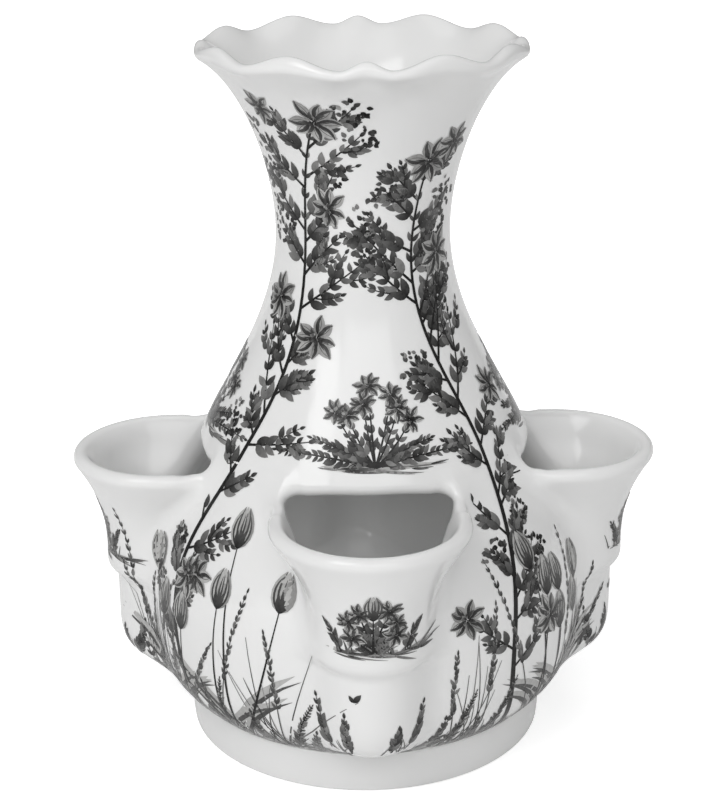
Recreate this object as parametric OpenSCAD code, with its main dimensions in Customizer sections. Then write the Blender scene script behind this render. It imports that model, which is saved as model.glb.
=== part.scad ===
// Tulipiere: a baluster flower vase with four flared pockets round its bulb.
// It is luted up in soft clay from a foot ring, a bulb, a neck, a scalloped rim,
// four pockets and four bead bands, then glazed and fired. Nothing on it moves.
// Millimetres, +Z up, origin at the middle of the foot's resting face, front pocket towards -Y.

/* [Vessel] */
// Height from the table to the highest lobes of the rim
vessel_h = 308; // [298:1:320]
// Thickness of the cast wall
wall = 5; // [4:0.25:6]
// Thickness of the reservoir floor
floor_t = 6; // [5:0.5:9]

/* [Foot ring] */
// Outside diameter of the foot ring
foot_d = 158.4; // [146:0.2:168]
// Height of the foot ring
foot_h = 18; // [12:0.5:23]
// Width of the face that the foot ring rests on
foot_wall = 9; // [6:0.5:16]
// How far the foot's outer face swells at mid height
foot_swell = 0.6; // [0:0.1:1.5]

/* [Bulb] */
// Outside diameter at the belly
bulb_d = 195.2; // [188:0.2:206]
// Height of the belly, the widest level
belly_z = 66; // [58:0.5:74]
// Lean of the wall, from upright, where it leaves the foot
base_lean = 47; // [35:1:55]
// How far the curve runs on from the foot
base_run = 13; // [6:0.5:18]
// How far the curve runs straight below the belly
belly_run_low = 32; // [20:0.5:36]
// How far the curve runs straight above the belly
belly_run_high = 33; // [22:0.5:42]
// Height of the luting seam between bulb and neck
seam_z = 143; // [137:0.5:150]
// Outside diameter at the luting seam
seam_d = 137.6; // [130:0.2:146]
// Lean of the wall, from upright, at the luting seam
seam_lean = 25.5; // [20:0.5:31]
// How far the curve runs straight below the seam
shoulder_run = 33; // [20:0.5:40]

/* [Neck] */
// Outside diameter at the waist of the neck
neck_d = 74.4; // [66:0.2:84]
// Height of the waist
neck_z = 227.4; // [215:0.2:240]
// How far the curve runs straight above the seam
throat_run = 24; // [16:0.5:34]
// How far the curve runs straight below the waist
waist_run_low = 34; // [22:0.5:42]
// How far the curve runs straight above the waist
waist_run_high = 29.6; // [20:0.2:38]

/* [Rim] */
// Outside diameter where the flare turns into the lip
rim_d = 135.6; // [126:0.2:146]
// Lean of the flare, from upright, at the lip
rim_lean = 56; // [45:1:62]
// How far the flare runs straight into the lip
flare_run = 20; // [12:0.5:26]
// Height of the rim piece, from its luting seam to the mean lip
rim_h = 20; // [15:0.5:26]
// Half the height between the lobes and the dips of the lip
rim_wave = 2.1; // [0.5:0.1:3.5]
// How far the dips roll outwards, and the lobes inwards
rim_swing = 0.6; // [0:0.1:4.5]
// Half the angle of each narrow cusp, which stands over a pocket
cusp_half = 9; // [6:0.5:14]
// Height of a cusp as a part of a lobe's height
cusp_part = 0.5; // [0.2:0.05:1]

/* [Pockets] */
// How far a pocket's upright axis lies inside the belly circle
pocket_inset = 7.6; // [4:0.2:12]
// Drop from the luting seam to the lip of a pocket
mouth_drop = 13; // [10:0.5:18]
// Height of a pocket, from its rounded bottom to its lip
pocket_h = 101; // [94:0.5:104]
// Outside diameter of the lip
lip_d = 77; // [70:0.2:86]
// Lean of the cup wall, from upright, at the lip
lip_lean = 33; // [25:1:45]
// How far the cup runs straight into the lip
lip_run = 21; // [14:0.5:26]
// Outside diameter of the cup above its bead
cup_d = 49.2; // [45:0.2:53]
// How far the cup runs straight up from its bead
cup_run = 24; // [18:0.5:32]
// Outside diameter of the sleeve below the bead
sleeve_d = 43.2; // [38:0.2:47]
// Height of the rounded bottom of the sleeve
sleeve_round = 18.5; // [14:0.5:26]
// Rise of the arched wall edge behind a mouth, above the lip
arch_rise = 4.5; // [2:0.5:6.5]

/* [Bead bands] */
// Drop from the lip to the middle of the bead
bead_drop = 54; // [48:0.5:60]
// Height of the bead
bead_h = 10; // [7:0.5:14]
// How far the bead stands proud of the cup
bead_proud = 0.8; // [0.3:0.1:2]

/* [Hidden] */

$fn = 96;
// Steps along one curve of a profile, and along the round of a lip
curve_steps = 9;
lip_steps = 5;
// Rings of the rim: one point every 2.5 degrees
rim_steps = 144;
// Least height between a seam and the next point of a profile
min_step = 0.5;

glaze = [0.94, 0.94, 0.93];
front = -90;
right = 0;
back = 90;
left = 180;

foot_r = foot_d / 2;
mouth_z = seam_z - mouth_drop;
pocket_axis = bulb_d / 2 - pocket_inset;
// A pocket's straight sides and its opening run back, through the bulb wall, to below the waist
side_run = pocket_axis - neck_d / 2;
bead_z = mouth_z - bead_drop;
rim_seam_z = vessel_h - rim_wave - rim_h;

// A direction that leans outwards from upright by the given angle
function leaning(angle) = [sin(angle), cos(angle)];

function bezier(p, t) =
    pow(1 - t, 3) * p[0] + 3 * pow(1 - t, 2) * t * p[1] + 3 * (1 - t) * pow(t, 2) * p[2] + pow(t, 3) * p[3];

function curve(p, steps = curve_steps) = [for (i = [0:steps]) bezier(p, i / steps)];

function tail(path) = [for (i = [1:len(path) - 1]) path[i]];

function reversed(path) = [for (i = [len(path) - 1:-1:0]) path[i]];

function unit(v) = v / norm(v);

// The outward side of a path that runs upwards
function outward(path, i) =
    let (way = unit(path[min(i + 1, len(path) - 1)] - path[max(i - 1, 0)]))
    [way[1], -way[0]];

// The path of the inner face of a wall
function inner_face(path, thick) = [for (i = [0:len(path) - 1]) path[i] - thick * outward(path, i)];

// Radius of a path at one height
function radius_at(path, z) = lookup(z, [for (p = path) [p[1], p[0]]]);

// The stretch of a path between two heights
function band(path, z0, z1) = concat(
    [[radius_at(path, z0), z0]],
    [for (p = path) if (p[1] > z0 + min_step && p[1] < z1 - min_step) p],
    [[radius_at(path, z1), z1]]);

// A half round from the top of an outer face to the top of its inner face
function lip_round(path, thick) =
    let (last = len(path) - 1, out = outward(path, last), up = [-out[1], out[0]])
    [for (i = [1:lip_steps - 1])
        let (turn = 180 * i / lip_steps)
        path[last] - out * thick / 2 * (1 - cos(turn)) + up * thick / 2 * sin(turn)];

// The baluster: outer face from the foot to the lip, and the inner face that follows it
base = [foot_r, foot_h];
belly = [bulb_d / 2, belly_z];
seam = [seam_d / 2, seam_z];
waist = [neck_d / 2, neck_z];
// The lip's half round stands above the end of the flare by this height
lip_rise = wall / 2 * (1 + sin(rim_lean));
lip_start = [rim_d / 2, vessel_h - rim_wave - lip_rise];

body_outer = concat(
    curve([base, base + base_run * leaning(base_lean), belly - [0, belly_run_low], belly]),
    tail(curve([belly, belly + [0, belly_run_high], seam - shoulder_run * leaning(-seam_lean), seam])),
    tail(curve([seam, seam + throat_run * leaning(-seam_lean), waist - [0, waist_run_low], waist])),
    tail(curve([waist, waist + [0, waist_run_high], lip_start - flare_run * leaning(rim_lean), lip_start])));
body_inner = inner_face(body_outer, wall);

// The pocket: outer face from the middle of its rounded bottom to its lip
pocket_bottom_z = mouth_z - pocket_h;
sleeve = [sleeve_d / 2, pocket_bottom_z + sleeve_round];
bead_low = [sleeve_d / 2, bead_z - bead_h / 2];
bead_high = [cup_d / 2, bead_z + bead_h / 2];
pocket_lip_rise = wall / 2 * (1 + sin(lip_lean));
// The lip's half round reaches past the end of the cup by this much
pocket_lip_reach = wall / 2 * (1 - cos(lip_lean));
pocket_lip = [lip_d / 2 - pocket_lip_reach, mouth_z - pocket_lip_rise];

function rounded_bottom(r, z_low, z_high) =
    [for (i = [0:curve_steps]) let (a = 90 * i / curve_steps) [r * sin(a), z_high - (z_high - z_low) * cos(a)]];

cup_outer = curve([bead_high, bead_high + [0, cup_run], pocket_lip - lip_run * leaning(lip_lean), pocket_lip]);
pocket_outer = concat(rounded_bottom(sleeve[0], pocket_bottom_z, sleeve[1]), [bead_low], cup_outer);

cup_inner = inner_face(cup_outer, wall);
pocket_inner = concat(
    rounded_bottom(sleeve[0] - wall, pocket_bottom_z + wall, sleeve[1]),
    [bead_low - [wall, 0]],
    cup_inner);
mouth_half = cup_inner[len(cup_inner) - 1][0];

// A closed section of the baluster wall between two heights
module body_wall(z0, z1) {
    polygon(concat(band(body_outer, z0, z1), reversed(band(body_inner, z0, z1))));
}

// Everything inside the outer face of the foot and the bulb
module body_core() {
    rotate_extrude()
        polygon(concat([[0, 0]], foot_face(), tail(band(body_outer, foot_h, seam_z)), [[0, seam_z]]));
}

function foot_face() = [for (i = [0:curve_steps])
    let (rise = i / curve_steps)
    [foot_r + foot_swell * 4 * rise * (1 - rise), foot_h * rise]];

// A pocket section carried round the front of the pocket's axis and straight back into the bulb
module round_pocket() {
    translate([pocket_axis, 0, 0]) rotate([0, 0, -90]) rotate_extrude(angle = 180) children();
    for (side = [0, 1])
        translate([pocket_axis - side_run, 0, 0])
            mirror([0, side, 0]) rotate([90, 0, 90]) linear_extrude(side_run) children();
}

// Outline of the opening behind a pocket: the pocket's inner face, closed by an arch above the mouth
function window_outline() =
    let (arch_r = (pow(mouth_half, 2) + pow(arch_rise, 2)) / (2 * arch_rise),
        arch_half = asin(mouth_half / arch_r),
        arch = [for (i = [0:2 * curve_steps])
            let (a = arch_half * (1 - i / curve_steps))
            [arch_r * sin(a), mouth_z + arch_rise - arch_r * (1 - cos(a))]])
    concat(pocket_inner, arch, [for (p = reversed(tail(pocket_inner))) [-p[0], p[1]]]);

module window_cut() {
    translate([pocket_axis - side_run, 0, 0]) rotate([90, 0, 90])
        linear_extrude(side_run + pocket_inset + wall) polygon(window_outline());
}

module foot_ring() {
    color(glaze) rotate_extrude()
        polygon(concat(foot_face(), [[foot_r - foot_wall, foot_h], [foot_r - foot_wall, 0]]));
}

module bulb() {
    floor_z = foot_h + floor_t;
    color(glaze) difference() {
        rotate_extrude()
            polygon(concat(
                [[0, foot_h]], band(body_outer, foot_h, seam_z),
                reversed(band(body_inner, floor_z, seam_z)), [[0, floor_z]]));
        for (turn = [front, right, back, left]) rotate([0, 0, turn]) window_cut();
    }
}

module neck() {
    color(glaze) rotate_extrude() body_wall(seam_z, rim_seam_z);
}

// Height of the lip over the round, from -1 in the dips to 1 on the lobes, four times alike
function lip_wave(angle) =
    let (off = abs((angle + 45) % 90 - 45), lobe_half = (45 - cusp_half) / 2)
    off < cusp_half
        ? -1 + (1 + cusp_part) * (1 + cos(180 * off / cusp_half)) / 2
        : -cos(180 * (off - cusp_half) / lobe_half);

rim_outer = band(body_outer, rim_seam_z, lip_start[1]);
rim_inner = band(body_inner, rim_seam_z, body_inner[len(body_inner) - 1][1]);
rim_section = concat(rim_outer, lip_round(body_outer, wall), reversed(rim_inner));

// The scallops grow from nothing at the seam to their full size at the lip
function scallop(p, angle) =
    let (grown = pow((p[1] - rim_seam_z) / rim_h, 2) * lip_wave(angle), r = p[0] - rim_swing * grown)
    [r * cos(angle), r * sin(angle), p[1] + rim_wave * grown];

module rim() {
    count = len(rim_section);
    color(glaze) polyhedron(
        points = [for (k = [0:rim_steps - 1], p = rim_section) scallop(p, 360 * k / rim_steps)],
        faces = [for (k = [0:rim_steps - 1], i = [0:count - 1])
            let (near = k * count, far = (k + 1) % rim_steps * count, next = (i + 1) % count)
            each [[near + i, near + next, far + i], [near + next, far + next, far + i]]]);
}

module pocket(turn) {
    color(glaze) rotate([0, 0, turn]) difference() {
        round_pocket()
            polygon(concat(pocket_outer, lip_round(cup_outer, wall), reversed(pocket_inner)));
        body_core();
    }
}

module bead(turn) {
    color(glaze) rotate([0, 0, turn]) difference() {
        round_pocket()
            polygon(curve([
                bead_low, [bead_high[0] + bead_proud, bead_low[1]],
                bead_high + [2 * bead_proud, -bead_h / 3], bead_high]));
        body_core();
    }
}

module front_pocket() { pocket(front); }
module right_pocket() { pocket(right); }
module back_pocket() { pocket(back); }
module left_pocket() { pocket(left); }

module front_bead() { bead(front); }
module right_bead() { bead(right); }
module back_bead() { bead(back); }
module left_bead() { bead(left); }

foot_ring();
bulb();
neck();
rim();
front_pocket();
right_pocket();
back_pocket();
left_pocket();
front_bead();
right_bead();
back_bead();
left_bead();
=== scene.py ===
import math

import bmesh
import bpy
import numpy as np
from mathutils import Matrix, Vector
from mathutils.kdtree import KDTree


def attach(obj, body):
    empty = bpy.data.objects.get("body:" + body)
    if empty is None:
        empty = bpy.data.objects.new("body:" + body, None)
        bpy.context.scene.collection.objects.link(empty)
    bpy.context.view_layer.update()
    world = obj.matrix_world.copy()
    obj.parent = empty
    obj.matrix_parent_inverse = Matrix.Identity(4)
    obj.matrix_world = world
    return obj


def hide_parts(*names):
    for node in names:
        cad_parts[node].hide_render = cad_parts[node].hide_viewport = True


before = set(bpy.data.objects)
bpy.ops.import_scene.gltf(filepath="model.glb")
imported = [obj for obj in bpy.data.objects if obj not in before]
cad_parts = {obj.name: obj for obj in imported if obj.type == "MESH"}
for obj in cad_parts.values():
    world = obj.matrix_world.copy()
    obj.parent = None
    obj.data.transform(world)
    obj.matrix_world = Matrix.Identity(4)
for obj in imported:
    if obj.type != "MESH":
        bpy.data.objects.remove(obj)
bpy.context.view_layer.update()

scene = bpy.context.scene
scene.view_settings.view_transform = "Standard"


# View: a short telephoto from a little above the rim, aimed at the vase's axis.
# The picture is 728 by 806, and its long side spans the sensor.
view_lens = 80.56
view_place = (-0.0196, -0.7488, 0.4148)
view_pitch = math.radians(19.62)
view_turn = math.radians(-1.5)
view_roll = math.radians(-0.35)
camera_data = bpy.data.cameras.new("view")
camera_data.lens = view_lens
camera_data.sensor_width = 36.0
camera_data.clip_start = 0.05
camera_data.clip_end = 50.0
camera = bpy.data.objects.new("view", camera_data)
camera.matrix_world = (
    Matrix.Translation(view_place)
    @ Matrix.Rotation(view_turn, 4, "Z")
    @ Matrix.Rotation(math.pi / 2 - view_pitch, 4, "X")
    @ Matrix.Rotation(view_roll, 4, "Z")
)
scene.collection.objects.link(camera)
scene.camera = camera


# Table: a wide pale sheet that the vase stands on, matt and white to the horizon.
# Shader sums are written as plain expressions on sockets, through this one class.
class Tone:
    def __init__(self, tree, socket):
        self.tree = tree
        self.socket = socket

    def node(self, kind, settings=None, output=0, **inputs):
        made = self.tree.nodes.new(kind)
        for key, value in (settings or {}).items():
            setattr(made, key, value)
        for key, value in inputs.items():
            numbered = key[0] == "i" and key[1:].isdigit()
            feed(made.inputs[int(key[1:]) if numbered else key.replace("_", " ")], value)
        return Tone(self.tree, made.outputs[output])

    def maths(self, operation, first, second):
        return self.node("ShaderNodeMath", {"operation": operation}, i0=first, i1=second)

    def __add__(self, other):
        return self.maths("ADD", self, other)

    def __sub__(self, other):
        return self.maths("SUBTRACT", self, other)

    def __rsub__(self, other):
        return self.maths("SUBTRACT", other, self)

    def __mul__(self, other):
        return self.maths("MULTIPLY", self, other)

    __radd__ = __add__
    __rmul__ = __mul__


def feed(entry, value):
    if isinstance(value, Tone):
        value.tree.links.new(value.socket, entry)
    else:
        entry.default_value = value


def set_sockets(shader, **values):
    for key, value in values.items():
        feed(shader.inputs[key.replace("_", " ")], value)


def new_finish(name):
    finish = bpy.data.materials.new(name)
    finish.use_nodes = True
    tree = finish.node_tree
    shader = tree.nodes["Principled BSDF"]
    return finish, shader, Tone(tree, None)


table_half = 6.0
table_white = (0.95, 0.95, 0.95, 1.0)
table_mesh = bmesh.new()
bmesh.ops.create_grid(table_mesh, x_segments=2, y_segments=2, size=table_half)
table_data = bpy.data.meshes.new("table")
table_mesh.to_mesh(table_data)
table_mesh.free()
table = bpy.data.objects.new("table", table_data)
scene.collection.objects.link(table)
table_finish, table_shader, table_tone = new_finish("pale_sheet")
table_grain = table_tone.node("ShaderNodeTexNoise", Scale=240.0, Detail=2.0)
set_sockets(table_shader, Base_Color=table_white, Roughness=0.9 + 0.05 * table_grain)

# To the eye the sheet is white of itself, and less so near the foot, where the shadow falls
shadow_from = 0.15
shadow_to = 0.9
shadow_level = 0.48
mirror_level = 0.12
seen = table_tone.node("ShaderNodeLightPath", output="Is Camera Ray")
mirrored = table_tone.node("ShaderNodeLightPath", output="Is Glossy Ray")
through = table_tone.node("ShaderNodeLightPath", output="Is Transmission Ray")
table_place = table_tone.node("ShaderNodeTexCoord", output="Object")
table_away = table_tone.node(
    "ShaderNodeVectorMath", {"operation": "LENGTH"}, output="Value", Vector=table_place)
table_level = table_tone.node(
    "ShaderNodeMapRange", Value=table_away, From_Min=shadow_from, From_Max=shadow_to,
    To_Min=shadow_level, To_Max=1.0)
white = (seen + mirror_level * mirrored + through) * table_level
glow = table_tone.node("ShaderNodeCombineColor", Red=white, Green=white, Blue=white)
set_sockets(table_shader, Emission_Color=glow, Emission_Strength=1.0)
table_data.materials.append(table_finish)


# Light: a tall soft window high on the left, a panel over the camera, another overhead, two
# behind, a low strip for the foot, and an even room that is white behind the vase.
def softbox(name, place, aim, width, height, watts, in_glaze=True):
    lamp_data = bpy.data.lights.new(name, "AREA")
    lamp_data.shape = "RECTANGLE"
    lamp_data.size = width
    lamp_data.size_y = height
    lamp_data.energy = watts
    lamp = bpy.data.objects.new(name, lamp_data)
    lamp.location = place
    lamp.rotation_euler = (Vector(aim) - Vector(place)).to_track_quat("-Z", "Y").to_euler()
    lamp.visible_glossy = in_glaze
    scene.collection.objects.link(lamp)


softbox("window", (-1.1, -1.4, 1.7), (0, 0, 0.17), 0.85, 1.5, 15.5)
softbox("front_panel", (0.1, -1.7, 1.35), (0, 0, 0.17), 1.8, 1.1, 11.5)
softbox("low_strip", (-0.5, -1.3, 0.14), (0, 0, 0.0), 2.0, 0.26, 1.7)
softbox("high_panel", (0.1, 0.0, 2.0), (0, 0, 0.15), 1.8, 1.8, 7.5)
softbox("back_left_panel", (-1.5, 1.9, 1.0), (0, 0, 0.15), 1.6, 1.4, 13, in_glaze=False)
softbox("back_right_panel", (1.8, 1.5, 1.0), (0, 0, 0.15), 1.6, 1.4, 12, in_glaze=False)
room_level = 0.22
room = bpy.data.worlds.new("room")
room.use_nodes = True
scene.world = room
room_tone = Tone(room.node_tree, None)
room_back = room.node_tree.nodes["Background"]
room_seen = room_tone.node("ShaderNodeLightPath", output="Is Camera Ray")
set_sockets(
    room_back, Color=(1.0, 1.0, 1.0, 1.0), Strength=room_level + (1 - room_level) * room_seen)


# Vessel wall: one skin of white earthenware, slip cast about 5 mm thick, that runs from
# the foot over the bulb, its four pockets and the neck to the scalloped rim. It is
# modelled as a quarter skin in millimetres, turned four times, and parted at its seams.
wall = 5.0
to_metres = 0.001
vessel_h = 308.0
rim_wave = 2.1
base_lean = 47.0
seam_lean = -25.5
lip_lean = 56.0


def leaning(angle):
    return np.array([math.sin(math.radians(angle)), math.cos(math.radians(angle))])


def bow(start, first, second, end, steps=400):
    t = np.linspace(0.0, 1.0, steps + 1)[:, None]
    a, b, c, d = (np.asarray(point, float) for point in (start, first, second, end))
    return (1 - t) ** 3 * a + 3 * (1 - t) ** 2 * t * b + 3 * (1 - t) * t ** 2 * c + t ** 3 * d


def eased(t):
    t = np.clip(t, 0.0, 1.0)
    return t * t * t * (t * (6 * t - 15) + 10)


# The outline is four bows in radius and height, each with the pull at both its ends
base = np.array([79.2, 18.0])
belly = np.array([97.6, 66.0])
seam = np.array([68.8, 143.0])
waist = np.array([37.2, 227.4])
lip = np.array([67.8, vessel_h - rim_wave - wall / 2 * (1 + math.sin(math.radians(lip_lean)))])
outline = np.vstack([
    bow(base, base + 13 * leaning(base_lean), belly - [0, 32], belly),
    bow(belly, belly + [0, 33], seam - 33 * leaning(seam_lean), seam)[1:],
    bow(seam, seam + 24 * leaning(seam_lean), waist - [0, 34], waist)[1:],
    bow(waist, waist + [0, 29.6], lip - 20 * leaning(lip_lean), lip)[1:],
])
outline_way = np.gradient(outline, axis=0)
outline_upright = outline_way[:, 1] / np.hypot(outline_way[:, 0], outline_way[:, 1])

# A pocket is a rounded sleeve, a step to the collar, and a cup that flares to its lip
sleeve_half = 20.8
sleeve_round_z = 49.5
sleeve_round_power = 2.4
collar_half = 24.7
collar_low_z = 68.0
collar_step = 9.5
collar_bulge = 0.45
collar_bulge_z = 78.5
collar_bulge_run = 3.5
cup_lean = 34.0
cup_lip = np.array([40.4, 124.7])
cup = bow((collar_half, 81.0), (collar_half, 105.0), cup_lip - 21 * leaning(cup_lean), cup_lip)
lip_end_z = 127.0
lip_end_run = 14.0
lip_end_in = 12.0
pocket_top_z = 138.0
pocket_top_slope = 4.0
axis_out = 91.0
axis_back = 3.4
axis_back_z = 98.0
axis_back_run = 30.0
fillet_side = 10.0
fillet_more_low = 6.0
fillet_low_z = 50.0
fillet_low_run = 16.0
fillet_less_high = 3.5
fillet_high_z = 85.0
fillet_high_run = 38.0
slope_step = 0.2


def pocket_half(z):
    step = sleeve_half + (collar_half - sleeve_half) * eased((z - collar_low_z) / collar_step)
    bulge = collar_bulge * np.exp(-((z - collar_bulge_z) / collar_bulge_run) ** 2)
    flare = np.interp(z, cup[:, 1], cup[:, 0]) - collar_half
    ending = lip_end_in * eased((z - lip_end_z) / lip_end_run)
    return step + bulge + flare - (ending + pocket_top_slope * np.maximum(z - pocket_top_z, 0.0))


def pocket_axis(z):
    return axis_out - axis_back * eased((z - axis_back_z) / axis_back_run)


def clay(x, y, z):
    # Signed gap to the skin in millimetres, with y out along a pocket's own middle
    lean = np.interp(z, outline[:, 1], outline_upright)
    body = (np.hypot(x, y) - np.interp(z, outline[:, 1], outline[:, 0])) * lean
    off = np.hypot(x, np.maximum(y - pocket_axis(z), 0.0))
    half = pocket_half(z)
    slope = (pocket_half(z + slope_step) - pocket_half(z - slope_step)) / (2 * slope_step)
    side = np.where(
        z < sleeve_round_z,
        (off ** sleeve_round_power + np.maximum(sleeve_round_z - z, 0.0) ** sleeve_round_power)
        ** (1 / sleeve_round_power) - sleeve_half,
        (off - half) / np.sqrt(1 + slope ** 2))
    fillet = fillet_side + fillet_more_low * eased((fillet_low_z - z) / fillet_low_run)
    fillet = fillet - fillet_less_high * eased((z - fillet_high_z) / fillet_high_run)
    near = np.maximum(fillet - np.abs(body - side), 0.0)
    return np.minimum(body, side) - near ** 2 / (4 * fillet)


def reach_of(turn, z):
    # Radius of the skin, closed in on by halving from near the axis and from well outside
    low = np.full(np.shape(turn), 20.0)
    high = np.full(np.shape(turn), 150.0)
    for _ in range(32):
        middle = (low + high) / 2
        inside = clay(middle * np.sin(turn), middle * np.cos(turn), z) < 0
        low = np.where(inside, middle, low)
        high = np.where(inside, high, middle)
    return low


mouth_low_z = cup_lip[1]
mouth_end_z = 131.0
mouth_high_z = 135.4
mouth_crown = 1.8
mouth_crown_run = 30.0
mouth_turn = math.radians(29.5)
mouth_radius = 74.5
ridge_run = 9.0


def skin(turn, z):
    # Point of the outer skin at an angle from a pocket's middle and a height. Over a mouth it is
    # the plain bulb, with a ridge at each end where the pocket's lip runs out
    radius = reach_of(turn, z)
    gap = (mouth_turn - turn) * mouth_radius
    over_mouth = (z >= mouth_end_z) & (gap > 0)
    if np.any(over_mouth):
        plain = np.interp(z, outline[:, 1], outline[:, 0])
        ridge = reach_of(np.full(np.shape(turn), mouth_turn), z) - plain
        radius = np.where(over_mouth, plain + ridge * (1 - eased(gap / ridge_run)), radius)
    return np.stack([radius * np.sin(turn), radius * np.cos(turn), z + 0 * radius], axis=-1)


# Its net of points: columns from a pocket's middle to the next field, gathered at the mouth's ends
pocket_columns = 52
mouth_columns = 44
quarter_columns = 66
eighth = math.pi / 4
end_columns = 10
low_end_run = 10.0
high_end_run = 7.0
skirt_out = 10.0
skirt_least = math.radians(9)
skirt_most = 0.66
gather_z = 110.0
gather_run = 14.0
gather_most = 0.93


def skirt_turn(z):
    # Angle from a pocket's middle to the edge of its skirt on the bulb
    drop = np.clip((sleeve_round_z - z) / sleeve_half, 0.0, 1.0) ** sleeve_round_power
    rounded = sleeve_half * (1 - drop) ** (1 / sleeve_round_power)
    half = np.where(z < sleeve_round_z, rounded, pocket_half(z))
    radius = np.interp(z, outline[:, 1], outline[:, 0])
    turn = np.arcsin(np.minimum((half + skirt_out) / radius, skirt_most))
    return np.maximum(turn, skirt_least)


def run_along(path):
    return np.concatenate([[0.0], np.cumsum(np.linalg.norm(np.diff(path, axis=0), axis=1))])


def gathered(run, end_run):
    # Columns along half a mouth: even, then gathered round its rounded end
    swing = np.linspace(math.pi / 2, 0.0, end_columns + 1)
    even = np.linspace(0.0, run - end_run, mouth_columns - end_columns + 1)
    return np.concatenate([even, run - end_run * (1 - np.cos(swing[1:]))])


def low_columns(z):
    # Angles of one row's columns: even along the pocket's section, then even over the bulb
    fine = np.linspace(0.0, eighth, 400)
    run = run_along(skin(fine, np.full(fine.shape, z)))
    edge = np.interp(skirt_turn(np.array(z)), fine, run)
    bend = np.interp(mouth_turn, fine, run) / edge
    spread = eased((z - gather_z) / gather_run)
    mouth_part = mouth_columns / pocket_columns
    mouth_part += (min(bend, gather_most) - mouth_part) * spread
    mouth_run = edge * mouth_part
    over_mouth = np.linspace(0.0, mouth_run, mouth_columns + 1)
    over_mouth += (gathered(mouth_run, low_end_run) - over_mouth) * spread
    over_skirt = np.linspace(mouth_run, edge, pocket_columns - mouth_columns + 1)[1:]
    over_bulb = np.linspace(edge, run[-1], quarter_columns - pocket_columns + 1)[1:]
    return np.interp(np.concatenate([over_mouth, over_skirt, over_bulb]), run, fine)


def mouth_end(gap, end_run):
    # Height left of a mouth near its rounded end, from 1 down to 0 at the end
    return np.sqrt(np.maximum(1 - (1 - np.clip(gap / end_run, 0.0, 1.0)) ** 2, 0.0))


low_rows = base[1:]
row_bands = ((24.0, 4), (38.0, 23), (64.0, 13), (84.0, 20), (110.0, 12), (mouth_low_z, 10))
for top, count in row_bands:
    low_rows = np.concatenate([low_rows, np.linspace(low_rows[-1], top, count + 1)[1:]])
corner_turns = low_columns(mouth_end_z)
top_turns = low_columns(mouth_low_z)
corner_turn = corner_turns[mouth_columns]
columns = np.arange(quarter_columns + 1)
lip_run = run_along(skin(top_turns, np.full(top_turns.shape, mouth_low_z)))
low_gap = lip_run[mouth_columns] - lip_run
low_top = mouth_end_z - (mouth_end_z - mouth_low_z) * mouth_end(low_gap, low_end_run)
high_turns = corner_turns.copy()
high_turns[:mouth_columns + 1] = gathered(corner_turn * mouth_radius, high_end_run) / mouth_radius
high_gap = (corner_turn - high_turns) * mouth_radius
high_start = mouth_end_z + (mouth_high_z - mouth_end_z) * mouth_end(high_gap, high_end_run)
high_start += mouth_crown * eased(high_gap / mouth_crown_run)
even_turns = eighth * columns / quarter_columns

bend_z = 100.0
low_skin = []
for row in low_rows:
    heights = row + eased((row - bend_z) / (mouth_low_z - bend_z)) * (low_top - mouth_low_z)
    turns = np.zeros(columns.shape)
    for z in np.unique(heights):
        turns = np.where(heights == z, low_columns(z), turns)
    low_skin.append(skin(turns, heights))

neck_foot_row = 8
rim_seam_z = 285.9
even_z = 134.0
even_run = 44.0
neck_rows = np.linspace(seam[1], rim_seam_z, 61)[1:]
rim_rows = np.linspace(rim_seam_z, lip[1], 15)[1:]
high_heights = [
    high_start + (seam[1] - high_start) * part for part in np.linspace(0.0, 1.0, neck_foot_row + 1)]
high_heights += [np.full(columns.shape, row) for row in np.concatenate([neck_rows, rim_rows])]
high_skin = []
for heights in high_heights:
    turns = high_turns + (even_turns - high_turns) * eased((heights - even_z) / even_run)
    high_skin.append(skin(turns, heights))

bulb_tag, pocket_tag, bead_tag, neck_tag, rim_tag = range(5)
bead_columns = 32
bead_low_z = 70.0
bead_high_z = 82.0
row_slack = 0.01
skirt_z = 21.0


def low_tag(column, row):
    if column >= pocket_columns or low_rows[row] < skirt_z:
        return bulb_tag
    if column < bead_columns and bead_low_z <= low_rows[row] < bead_high_z - row_slack:
        return bead_tag
    return pocket_tag


def high_tag(column, row):
    if row < neck_foot_row:
        return bulb_tag
    return neck_tag if row < neck_foot_row + len(neck_rows) else rim_tag


def add_sheet(mesh, sheet):
    sheet_data = bpy.data.meshes.new("sheet")
    sheet.to_mesh(sheet_data)
    sheet.free()
    mesh.from_mesh(sheet_data)
    bpy.data.meshes.remove(sheet_data)


vessel = bmesh.new()
for rows, tag_of in ((low_skin, low_tag), (high_skin, high_tag)):
    sheet = bmesh.new()
    count = len(rows) - 1
    bmesh.ops.create_grid(sheet, x_segments=2 * quarter_columns, y_segments=count, size=1.0)
    for face in sheet.faces:
        middle = face.calc_center_median()
        column = math.floor(abs(middle.x) * quarter_columns)
        face.material_index = tag_of(column, math.floor((middle.y + 1) / 2 * count))
        face.smooth = True
    for vert in sheet.verts:
        column = round(vert.co.x * quarter_columns)
        x, y, z = rows[round((vert.co.y + 1) / 2 * count)][abs(column)]
        vert.co = (x if column < 0 else -x, -y, z)
    add_sheet(vessel, sheet)
bmesh.ops.remove_doubles(vessel, verts=vessel.verts, dist=0.002)
bmesh.ops.spin(
    vessel, geom=vessel.verts[:] + vessel.edges[:] + vessel.faces[:], cent=(0, 0, 0), axis=(0, 0, 1),
    angle=2 * math.pi, steps=4, use_duplicate=True)
bmesh.ops.remove_doubles(vessel, verts=vessel.verts, dist=0.01)
bmesh.ops.recalc_face_normals(vessel, faces=vessel.faces)
vessel.normal_update()
widest = max(vessel.faces, key=lambda face: face.calc_center_median().x)
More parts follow.
